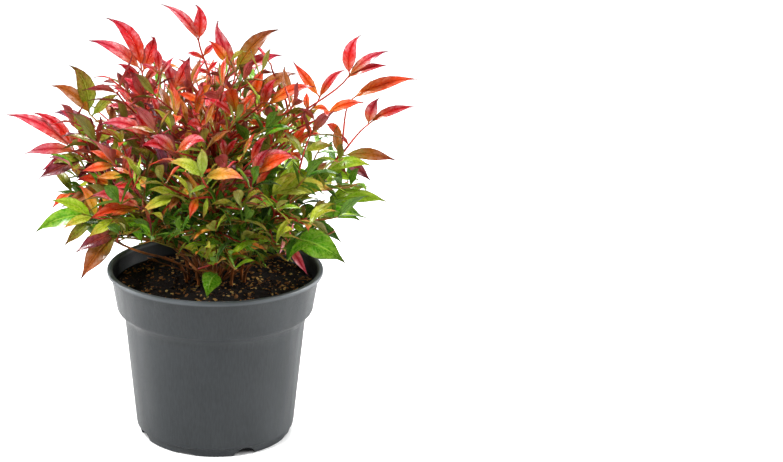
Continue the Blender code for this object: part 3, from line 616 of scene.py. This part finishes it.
class Plant:
    # grows the sprays, and deals each leaflet to the pile of its tint

    def __init__(self):
        self.rng = random.Random(crown["seed"])
        self.crowding = Crowding(crown["spacing"])
        self.piles = {}
        self.redTwigs = Pile("twigsRed")
        self.greenTwigs = Pile("twigsOlive")
        self.sprays = 0
        self.leaflets = 0
        self.directions = {name: heading(row[0], row[1]) for name, row in masses.items()}

    def pileOf(self, tint):
        if tint not in self.piles:
            self.piles[tint] = Pile("leaves" + tint[0].upper() + tint[1:])
        return self.piles[tint]

    def leavesOpen(self, point):
        seen = point.z * outline["up"] + point.y * outline["back"]
        side = 0 if point.x > 0.0 else 1
        sideways = abs(point.x)
        bare = outline["soil"] + min(outline["soilSlopes"][side] * sideways, outline["soilRise"])
        near = point.y < 0.03 or point.x < -0.02
        if near and sideways < outline["soilHalf"] and seen < bare:
            return False
        if seen > outline["crest"] - outline["shoulders"][side] * point.x ** 2:
            return False
        past = sideways - outline["skirtFrom"]
        return past <= 0.0 or seen >= outline["skirt"] + outline["skirtSlope"] * past

    def fits(self, points, leading):
        for point in points:
            level = math.hypot(point.x, point.y)
            if level > (crown["leadingWidest"] if leading else crown["widest"]):
                return False
            if crown["potWall"] < level < crown["potRim"] and point.z < crown["rimTop"]:
                return False
            if level <= crown["potWall"] and point.z < crown["soilTop"]:
                return False
            if not leading and not self.leavesOpen(point):
                return False
        return True

    def leaflet(self, root, aim, length, slender, facing, droop, curl, tint, inwards, leading=False):
        for step in range(6):
            way = aim.lerp(inwards, 0.10 * step).normalized()
            bm, points = makeLeaflet(root, way, length, slender, facing, droop, curl, self.rng)
            checked = points[3::2] + points[-1:]
            if self.fits(checked, leading) and (leading or not self.crowding.taken(checked, self.sprays)):
                self.crowding.add(checked, self.sprays)
                self.pileOf(tint).add(bm)
                self.leaflets += 1
                return True
            bm.free()
        return False

    def twig(self, path, tints):
        cool = tints[0] in ("green", "deepGreen", "darkGreen", "lime", "olive")
        pile = self.greenTwigs if cool else self.redTwigs
        pile.add(makeTwig(path, twigShape["root"], twigShape["tip"], twigShape["sides"]))

    def bends(self, droop):
        return droop * self.rng.uniform(*crown["droopSpread"]), self.rng.uniform(*crown["curl"])

    def spray(self, places, node, fan, facing, tints, leading):
        # a twig from the stem to the node, its end leaflets, and pairs further down
        rng = self.rng
        self.sprays += 1
        lean = (places[-1] - places[0]).normalized()
        start = min(places, key=lambda place: (node - place).length + abs(place.z + 0.05 - node.z))
        span = (node - start).length
        straight = (node - start).normalized()
        path = curvePoints(start, start + straight.lerp(lean, 0.6) * 0.35 * span,
                           node - straight.lerp(fan[0][0], 0.45) * 0.30 * span, node, 9)
        high = max(0.0, min(1.0, shareOfHeight(node)))
        droop = crown["leadingDroop"] if leading else crown["droop"] - crown["droopLoss"] * high
        inwards = (node - crown["root"]).normalized()
        back = (path[-2] - path[-1]).normalized()
        grown = 0
        for order, (aim, length, *width) in enumerate(fan):
            root = path[-1] + back * 0.0016 * order
            slender = width[0] if width else rng.uniform(*crown["slender"])
            length *= crown["leadingLeaf"] if leading else 1.0
            tint = tints[order % len(tints)] if leading or rng.random() < 0.75 else rng.choice(tints)
            grown += self.leaflet(root, aim, length, slender, facing, *self.bends(droop),
                                  tint, inwards, leading)
        if not grown:
            return 0
        along, normal, side = sideFrame(path[6] - path[4], facing)
        roll = math.radians(crown["pairRoll"] * rng.uniform(0.2, 1.0))
        spread = math.radians(crown["pairSpread"])
        across = side * math.cos(roll) + normal * math.sin(roll)
        above = across.cross(along) + up * 0.4
        small = crown["leadingPairs"] if leading else 1.0
        for share, size in crown["pairs"]:
            for hand in (-1.0, 1.0):
                place = share + 0.03 * hand
                index = min(int(place * 8), 7)
                root = path[index].lerp(path[index + 1], place * 8 - index)
                aim = along * math.cos(spread) + across * hand * math.sin(spread)
                grown += self.leaflet(root, aim, fan[0][1] * size * small, rng.uniform(*crown["slender"]),
                                      above, *self.bends(droop), rng.choice(tints), inwards)
        self.twig(path, tints)
        return grown

    def tintsAt(self, node):
        rng = self.rng
        depth = shareOfReach(node)
        high = shareOfHeight(node) + rng.uniform(-0.07, 0.07)
        # sprays deep in the crown get dark greens: partly the leaves' own green, partly painted shade inside
        # the crown
        if depth < 0.52:
            kinds = "green lime deep" if node.x > 0.04 else "deep dark dark greenOlive"
            return sprayTints[rng.choice(kinds.split())].split()
        if depth < 0.60:
            high -= 0.14
        if node.x > 0.03:
            high -= 0.10 * (1.0 - high)
        kinds = next(kinds for lowest, kinds in sprayPlaces if high > lowest)
        kind = rng.choice(kinds.split())
        for side, past, low, top, often, kinds in sprayPatches:
            if node.x * side > past and low < high < top and rng.random() < often:
                kind = rng.choice(kinds.split())
        return sprayTints[kind].split()

    def ruledSpray(self, places, node):
        rng = self.rng
        length = rng.uniform(*crown["leaf"])
        out = outwardsAt(node)
        sway = Vector((rng.uniform(-1, 1), rng.uniform(-1, 1), rng.uniform(-0.5, 0.7)))
        aim = ((node - crown["root"]).normalized() + out * 0.35 + sway * 0.42).normalized()
        facing = up + up.cross(out) * rng.choice((-1.0, 1.0)) * rng.uniform(0.2, 0.8) + out * 0.5
        along, _, side = sideFrame(aim, facing)
        spread = math.radians(crown["spread"] + rng.uniform(-8, 8))
        fan = [(aim, length)]
        for hand in (-1.0, 1.0):
            way = along * math.cos(spread) + side * hand * math.sin(spread)
            fan.append((way, crown["sideLeaf"] * length))
        if shareOfReach(node) < 0.5:
            fan = [(way, size * crown["innerLeaf"]) for way, size in fan]
        return self.spray(places, node, fan, facing, self.tintsAt(node), False)

    def leadingSpray(self, places, row):
        place, tilt, leaflets, kind = row
        node = Vector([value / 1000.0 for value in place])
        dip = math.radians(tilt)
        fan = []
        for lean, length, *width in leaflets:
            aim = heading(0.0, lean) * math.cos(dip) + Vector((0.0, -1.0, 0.0)) * math.sin(dip)
            fan.append((aim, length / 1000.0, *width))
        self.spray(places, node, fan, Vector((0.0, -0.85, 0.5)), sprayTints[kind].split(), True)
        return node

    def placeForNode(self, direction, planes, shares, placed):
        rng = self.rng
        best, bestGap = None, 0.0
        for _ in range(crown["tries"]):
            sway = Vector((rng.gauss(0, 1), rng.gauss(0, 1), rng.gauss(0, 1))) * crown["wander"]
            ray = (direction + sway).normalized()
            node = crown["root"] + ray * crownReach(ray) * rng.choice(shares)
            inside = min((node - crown["root"]).dot(plane) for plane in planes)
            if inside < 0.0 or node.z < crown["lowest"]:
                continue
            gap = min([(node - other).length for other in placed] + [0.03 + 2.0 * inside])
            if gap > bestGap:
                best, bestGap = node, gap
        return best

    def planesOf(self, name):
        # the planes between this mass and each of the others
        own = self.directions[name]
        return [(own - other).normalized() for key, other in self.directions.items() if key != name]

    def sharesOf(self, name, layer):
        if layer == "inner":
            return crown["innerShares"]
        if name in ("top", "upper_front", "upper_left", "upper_right"):
            return crown["topShares"]
        return crown["backShares"] if self.directions[name].y > 0.2 else crown["frontShares"]

    def grow(self):
        canes, placed = {}, []
        for name, (bearing, rise, length, _) in masses.items():
            cane = canePath(bearing, rise)
            stem = stemPath(cane[3], (cane[3] - cane[2]).normalized(), length)
            canes[name] = curvePoints(*cane, 30) + curvePoints(*stem, 18)[1:]
            for row in leadingSprays.get(name, ()):
                placed.append(self.leadingSpray(curvePoints(*stem, 24)[1:], row))
        self.rng = random.Random(crown["seed"])      # so that the rows above can change on their own
        for layer in ("outer", "inner"):
            for name, mass in masses.items():
                planes, shares = self.planesOf(name), self.sharesOf(name, layer)
                for _ in range(int(mass[3] * crown[layer + "Count"])):
                    node = self.placeForNode(self.directions[name], planes, shares, placed)
                    if node and self.ruledSpray(canes[name][12:], node):
                        placed.append(node)
        return canes


caneShape = {"sides": 12, "foot": 0.0013, "tip": 0.0008, "relief": 0.10,
             "stalks": 2, "seed": 3}


def caneRelief(point, out, index):
    # ridged bark, with a ring every so far where a leaf once sat
    ridges = noise.noise(Vector((out.x * 3.0, out.y * 3.0, point.z * 90.0 + point.x * 300.0)))
    ring = 1.0 if index % 6 == 0 else 0.0
    return 1.0 + caneShape["relief"] * ridges + 0.14 * ring


plant = Plant()
canePaths = plant.grow()
print("plant grown:", plant.sprays, "sprays,", plant.leaflets, "leaflets")

canePile = Pile("canesBark")
for path in canePaths.values():
    canePile.add(makeTwig(path, caneShape["foot"], caneShape["tip"], caneShape["sides"], caneRelief))

# slender stalks that fan out of the clump between the canes
rng = random.Random(caneShape["seed"])
for bearing, rise, _, _ in masses.values():
    for _ in range(caneShape["stalks"]):
        foot, _, _, tip = canePath(bearing + rng.uniform(-14, 14), min(rise + rng.uniform(-8, 5), 89.0))
        foot = Vector((foot.x * 0.45, foot.y * 0.45, foot.z)) + around(rng.uniform(0, 360), 0.005)
        lean = (tip - foot).normalized()
        span = (tip - foot).length
        stalk = curvePoints(foot, foot + (lean + up * 0.35) * 0.35 * span, tip - lean * 0.3 * span, tip, 14)
        canePile.add(makeTwig(stalk, rng.uniform(0.0006, 0.0010), 0.0005, 6))

# tints: blade, heel, tip, midrib, painted sheen on the outer blade, and the underside they go with
tints = {
    "scarlet": ("ec2c34", "d87c20", "c42044", "e01810", "fca0a8", "red"),
    "coral": ("f04c5c", "cc9030", "cc3458", "d82430", "fcbcc0", "red"),
    "crimson": ("cc2830", "a86c1c", "8a1840", "b41418", "f08080", "red"),
    "flame": ("f05018", "c4a41c", "dc3440", "ec4c10", "fc9070", "red"),
    "amber": ("e08824", "a4b020", "e04450", "f0a83c", "f0b078", "olive"),
    "rosy": ("dc4c5c", "b88c2c", "a8204c", "d02c34", "f4a8b0", "red"),
    "mauve": ("98506a", "7c7428", "5c1c40", "b06070", "b8889c", "red"),
    "maroon": ("74242e", "6e6420", "401424", "a04034", "9c5464", "olive"),
    "olive": ("808018", "88a820", "8c342c", "b8c048", "b09850", "olive"),
    "bronze": ("a86020", "949c20", "8c2c38", "c87830", "c49070", "olive"),
    "yellowGreen": ("b4c024", "8cb420", "e86a58", "dce468", "d8dc68", "olive"),
    "lime": ("90c018", "9cc81c", "b8bc30", "cce454", "c4dc58", "green"),
    "green": ("569c10", "70b018", "5c7810", "a8d048", "a0cc48", "green"),
    "deepGreen": ("2e600e", "408014", "384810", "5c8420", "6c9830", "green"),
    "darkGreen": ("183408", "224c0c", "24300c", "345814", "486c20", "green"),
}

barkFinish = {"scales": (90.0, 900.0), "bump": (0.4, 0.0003)}
undersides = {
    "red": leafMaterial("undersideRed", "c04c50", "b87030", "8c2440", "d07468", "cc7478", 0.45),
    "olive": leafMaterial("undersideOlive", "88802c", "8a9a34", "84443c", "a8a850", "a09850", 0.45),
    "green": leafMaterial("undersideGreen", "4c781a", "648c20", "545c1c", "84a83c", "688c2c", 0.45),
}

foliageNodes = ["foliage_" + name for name in masses]
for tint, pile in sorted(plant.piles.items()):
    *colours, under = tints[tint]
    upper = leafMaterial("leaf" + tint[0].upper() + tint[1:], *colours)
    piece = pile.finish([upper, undersides[under]], 75.0)
    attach(piece, "root")
    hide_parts(*foliageNodes)
    print(piece.name, len(piece.data.polygons), "faces")

for pile, fresh, old in ((plant.redTwigs, "c03a26", "8a2c1c"), (plant.greenTwigs, "a8642c", "848430")):
    piece = pile.finish(mottledMaterial(pile.name + "Bark", fresh, old, (0.45, 0.60), barkFinish))
    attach(piece, "root")
    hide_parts(*foliageNodes)

piece = canePile.finish(mottledMaterial("caneBark", "b87440", "5c3c1c", (0.36, 0.51), barkFinish))
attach(piece, "root")
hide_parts(*["cane_" + name for name in masses])
print("canes and twigs done")


pot = {
    "height": 0.152, "rim": 0.095, "rimDepth": 0.004,
    "collarTop": 0.0917, "collarBottom": 0.0866, "collarDepth": 0.036, "shoulder": 0.008,
    "bodyTop": 0.0803, "bodyBottom": 0.0707, "bulge": 0.0025,
    "foot": 0.0682, "footInner": 0.056, "footHeight": 0.008,
    "wall": 0.0018, "floor": 0.007, "steps": 144,
    "notches": 8, "firstNotch": -67.5, "notchWidth": 0.010, "deep": 0.0065, "shallow": 0.002,
    "drains": 8, "drainRadius": 0.005, "drainCircle": 0.040,
    "lipInside": ((0.2, 1.6), (0.7, 0.5), (1.6, 0.0)),
    "lipOutside": ((1.2, 0.0), (0.4, 0.35), (0.05, 1.1), (0.0, 2.0), (0.05, 3.1), (0.4, 3.8)),
}


def potProfile():
    # from the middle of the inner floor up, over the lip, down and round the foot
    top, rim, collar = pot["height"], pot["rim"], pot["collarTop"]
    foot, footTop, footInner = pot["foot"], pot["footHeight"], pot["footInner"]
    bodyTop, bodyFoot, shoulder = pot["bodyTop"], pot["bodyBottom"], pot["shoulder"]
    collarFoot = top - pot["collarDepth"]
    neck = top - pot["rimDepth"]
    lip = pot["rimDepth"] / 4.0
    wall = pot["wall"]
    inside = pot["floor"] + wall
    slope = (bodyTop - bodyFoot) / (collarFoot - shoulder - footTop)
    return [
        (0.0, inside),
        (bodyFoot + slope * (inside - footTop) - wall, inside),
        (bodyTop - wall, collarFoot - shoulder),
        (bodyTop + pot["bulge"] - wall, collarFoot - 0.4 * shoulder),
        (pot["collarBottom"] - wall, collarFoot + wall),
        (collar - wall, neck),
        *[(collar - wall + along * lip, top - down * lip) for along, down in pot["lipInside"]],
        *[(rim - along * lip, top - down * lip) for along, down in pot["lipOutside"]],
        (rim - 1.0 * lip, neck),
        (collar + 0.3 * lip, neck - 0.1 * lip),
        (collar, neck - 0.5 * lip),
        (pot["collarBottom"] + 0.0003, collarFoot + 0.0020),
        (pot["collarBottom"], collarFoot + 0.0006),
        (pot["collarBottom"] - 0.0006, collarFoot - 0.0004),
        (bodyTop + 0.9 * pot["bulge"], collarFoot - 0.45 * shoulder),
        (bodyTop + 0.5 * pot["bulge"], collarFoot - 0.72 * shoulder),
        (bodyTop, collarFoot - shoulder),
        (bodyTop - 0.0008, collarFoot - shoulder - 0.006),
        (bodyFoot + 0.0004, footTop + 0.004),
        (bodyFoot - 0.0002, footTop),
        (foot + 0.0004, 0.85 * footTop),
        (foot, 0.6 * footTop),
        (foot - 0.0006, 0.0008),
        (foot - 0.0016, 0.0),
        (footInner, 0.0),
        (footInner - 0.0008, pot["floor"]),
        (0.0, pot["floor"]),
    ]


def turnedBmesh(profile, steps):
    bm = bmesh.new()
    corners = [bm.verts.new((radius, 0.0, height)) for radius, height in profile]
    edges = [bm.edges.new(pair) for pair in zip(corners, corners[1:])]
    bmesh.ops.spin(bm, geom=corners + edges, cent=(0, 0, 0), axis=(0, 0, 1), angle=math.tau, steps=steps,
                   use_merge=True, use_duplicate=False)
    bmesh.ops.remove_doubles(bm, verts=bm.verts, dist=0.00001)
    bmesh.ops.recalc_face_normals(bm, faces=bm.faces)
    return bm


def cutterBmesh(radius, depth, sides):
    bm = bmesh.new()
    bmesh.ops.create_cone(bm, cap_ends=True, segments=sides, radius1=radius, radius2=radius, depth=depth)
    return bm


def cutPot(body):
    # arches under the foot, deep and shallow by turns, and the drain holes
    pile = Pile("potCutter")
    for index in range(pot["notches"]):
        depth = pot["deep"] if index % 2 == 0 else pot["shallow"]
        bearing = pot["firstNotch"] + index * 360.0 / pot["notches"]
        bm = cutterBmesh(1.0, 0.030, 32)
        flat = Matrix.Diagonal((pot["notchWidth"], depth + 0.0004, 1.0, 1.0))
        turn = Matrix.Rotation(math.radians(bearing + 90.0), 4, "Z")
        lay = turn @ Matrix.Rotation(math.radians(90.0), 4, "X")
        bmesh.ops.transform(bm, matrix=lay @ flat, verts=bm.verts)
        middle = around(bearing, 0.5 * (pot["foot"] + pot["footInner"]), -0.0004)
        bmesh.ops.translate(bm, vec=middle, verts=bm.verts)
        pile.add(bm)
    for index in range(pot["drains"]):
        bm = cutterBmesh(pot["drainRadius"], 0.01, 24)
        spot = around(index * 360.0 / pot["drains"], pot["drainCircle"], pot["floor"])
        bmesh.ops.translate(bm, vec=spot, verts=bm.verts)
        pile.add(bm)
    cutter = pile.finish(bpy.data.materials.new("cutter"))
    cut = body.modifiers.new("cut", "BOOLEAN")
    cut.operation = "DIFFERENCE"
    cut.solver = "EXACT"
    cut.object = cutter
    depsgraph = bpy.context.evaluated_depsgraph_get()
    mesh = bpy.data.meshes.new_from_object(body.evaluated_get(depsgraph))
    body.modifiers.remove(cut)
    body.data = mesh
    bpy.data.objects.remove(cutter, do_unlink=True)


def potMaterial():
    material, tree, shader = newMaterial("potPlastic", 700)
    place = tree.add("TexCoord", -1000, 0)["Object"]
    streaky = tree.add("Mapping", -800, -200, {"Vector": place, "Scale": (1.0, 1.0, 0.12)})
    scuffs = tree.mottled(streaky["Vector"], (60.0, 900.0), -550, -200)      # scuffs run up and down
    grain = tree.mottled(place, (18.0, 2600.0), -550, 150)
    shade = tree.mix(grain["Broad"], "2a2e31", "303437", -250, 150)
    scuffed = tree.math("MULTIPLY", scuffs["Fine"], 0.25, -250, -100)
    shade = tree.mix(scuffed, shade, "464b4e", 0, 100)
    height = tree.add("SeparateXYZ", -250, 400, {0: place})["Z"]
    paintedLipHighlight = tree.spread(height, 0.1478, 0.1500, 0.0, 0.35, 0, 400)      # painted highlight: the lip is paler
    shade = tree.mix(paintedLipHighlight, shade, "8c9296", 250, 100)
    rough = tree.spread(scuffs["Broad"], 0.0, 1.0, 0.30, 0.40, 0, -200)
    tree.finish(shader, shade, rough, grain["Fine"], (0.25, 0.0002))
    return material


piece = fromBmesh(turnedBmesh(potProfile(), pot["steps"]), "potShell", potMaterial())
cutPot(piece)
piece.data.shade_smooth()
piece.data.set_sharp_from_angle(angle=math.radians(38.0))
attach(piece, "root")
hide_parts("pot")
print("pot turned:", len(piece.data.polygons), "faces")


soil = {
    "top": 0.140, "edge": 0.0887, "edgeDrop": 0.003, "flat": 0.040, "rings": 26, "steps": 128,
    "bedEdge": 0.0886, "lumps": 0.0011, "lumpsAbove": 0.1305,
    "wall": ((0.0845, 0.1178), (0.0804, 0.1128), (0.0782, 0.108), (0.0687, 0.0092), (0.0, 0.0092)),
    "chips": 1900, "chipSize": (0.0006, 0.0021), "chipCircle": 0.086, "seed": 8,
    "chipKinds": (           # name, two colours, share of all
        ("chipsTan", "b8864c", "8c5c2c", 0.26),
        ("chipsDark", "3c2616", "1c120a", 0.58),
        ("chipsOchre", "f4d890", "c8904c", 0.16),
    ),
}


def soilHeight(radius):
    share = max(0.0, (radius - soil["flat"]) / (soil["edge"] - soil["flat"]))
    return soil["top"] - soil["edgeDrop"] * share ** 1.6


def soilBmesh():
    radii = [soil["bedEdge"] * i / soil["rings"] for i in range(soil["rings"] + 1)]
    bm = turnedBmesh([(radius, soilHeight(radius)) for radius in radii] + list(soil["wall"]), soil["steps"])
    for vert in bm.verts:
        if vert.co.z > soil["lumpsAbove"] and math.hypot(vert.co.x, vert.co.y) < soil["bedEdge"] - 0.001:
            vert.co.z += soil["lumps"] * noise.fractal(vert.co * 160.0, 0.8, 2.2, 4)
    return bm


def chipBmesh(rng, size):
    # one crumb of bark: a squashed, uneven ball
    bm = bmesh.new()
    bmesh.ops.create_icosphere(bm, subdivisions=1, radius=1.0)
    long = rng.uniform(0.8, 1.9)
    squash = Matrix.Diagonal((size * long, size * rng.uniform(0.5, 1.0), size * rng.uniform(0.3, 0.6), 1.0))
    for vert in bm.verts:
        vert.co *= rng.uniform(0.75, 1.2)
    spin = Matrix.Rotation(rng.uniform(0, math.tau), 4, "Z") @ Matrix.Rotation(rng.uniform(-0.6, 0.6), 4, "Y")
    bmesh.ops.transform(bm, matrix=spin @ squash, verts=bm.verts)
    return bm


crumbFinish = {"scales": (260.0, 1400.0), "bump": (0.9, 0.0008)}
peat = mottledMaterial("peat", "120c08", "241810", (0.83, 0.95), crumbFinish)
piece = fromBmesh(soilBmesh(), "soilBed", peat)
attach(piece, "root")
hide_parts("soil")

rng = random.Random(soil["seed"])
for name, first, second, count in soil["chipKinds"]:
    pile = Pile(name)
    for _ in range(int(soil["chips"] * count)):
        radius = soil["chipCircle"] * math.sqrt(rng.random())
        size = rng.uniform(*soil["chipSize"])
        bm = chipBmesh(rng, size)
        spot = around(rng.uniform(0, 360), radius, soilHeight(radius) + size * 0.12)
        bmesh.ops.translate(bm, vec=spot, verts=bm.verts)
        pile.add(bm)
    piece = pile.finish(mottledMaterial(name + "Bark", first, second, (0.73, 0.85), crumbFinish), 30.0)
    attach(piece, "root")
    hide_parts("soil")
print("soil laid")


studio = {
    "floor": "f4f4f4",
    "glow": 0.75,
    "sky": 0.15,
    "white": (1.0, 1.0, 1.0, 1.0),
    "shade": (0.060, 0.085),      # the floor glows from here on, and not under the pot
    "lamps": (           # name, place, size, watts
        ("key", (-0.7, -0.8, 1.6), 0.35, 27.0),
        ("fill", (1.2, -1.0, 1.1), 0.5, 7.0),
        ("back", (0.2, 1.2, 1.6), 0.6, 18.0),
        ("leftStrip", (-1.2, 0.25, 0.45), 0.5, 10.5),
        ("rightStrip", (1.2, 0.25, 0.45), 0.5, 14.0),
    ),
}
camera = {
    "distance": 1.400, "height": 0.624, "tilt": 17.43, "pixels": 1680.98, "shift": 0.2252,
    "frame": 783.0, "sensor": 36.0,
}

bm = bmesh.new()
bmesh.ops.create_grid(bm, x_segments=2, y_segments=2, size=6.0)
material, tree, shader = newMaterial("floorPaint", 100)
seen = tree.add("LightPath", -500, 0)["Is Camera Ray"]
glow = tree.math("MULTIPLY", seen, studio["glow"], -250, 0)
place = tree.add("TexCoord", -900, -200)["Object"]
reach = tree.add("VectorMath", -700, -200, {0: place}, operation="LENGTH")["Value"]
clear = tree.spread(reach, *studio["shade"], 0.0, 1.0, -500, -200)
glow = tree.math("MULTIPLY", glow, clear, -100, -100)
tree.feed(shader, {"Base Color": studio["floor"], "Roughness": 0.9, "Emission Color": studio["white"],
                   "Emission Strength": glow})
floor = fromBmesh(bm, "floor", material)

world = bpy.data.worlds.new("studioSky")
world.use_nodes = True
tree = NodeTree(world.node_tree)
seen = tree.add("LightPath", -600, 0)["Is Camera Ray"]
sky = tree.math("MAXIMUM", seen, studio["sky"], -300, 0)
tree.feed(tree.nodes["Background"], {"Color": studio["white"], "Strength": sky})
scene.world = world

for name, place, size, watts in studio["lamps"]:
    lamp = bpy.data.lights.new(name, "AREA")
    lamp.size = size
    lamp.energy = watts
    lampObject = bpy.data.objects.new(name, lamp)
    lampObject.location = place
    aim = Vector((0.0, 0.0, 0.2)) - Vector(place)
    lampObject.rotation_euler = aim.to_track_quat("-Z", "Y").to_euler()
    scene.collection.objects.link(lampObject)

lens = bpy.data.cameras.new("photoCamera")
lens.sensor_width = camera["sensor"]
lens.lens = camera["pixels"] / camera["frame"] * camera["sensor"]
lens.shift_x = camera["shift"]
cameraObject = bpy.data.objects.new("photoCamera", lens)
cameraObject.location = (0.0, -camera["distance"], camera["height"])
cameraObject.rotation_euler = (math.radians(90.0 - camera["tilt"]), 0.0, 0.0)
scene.collection.objects.link(cameraObject)
scene.camera = cameraObject
scene.view_settings.view_transform = "Standard"
scene.view_settings.look = "Medium High Contrast"
print("studio set")
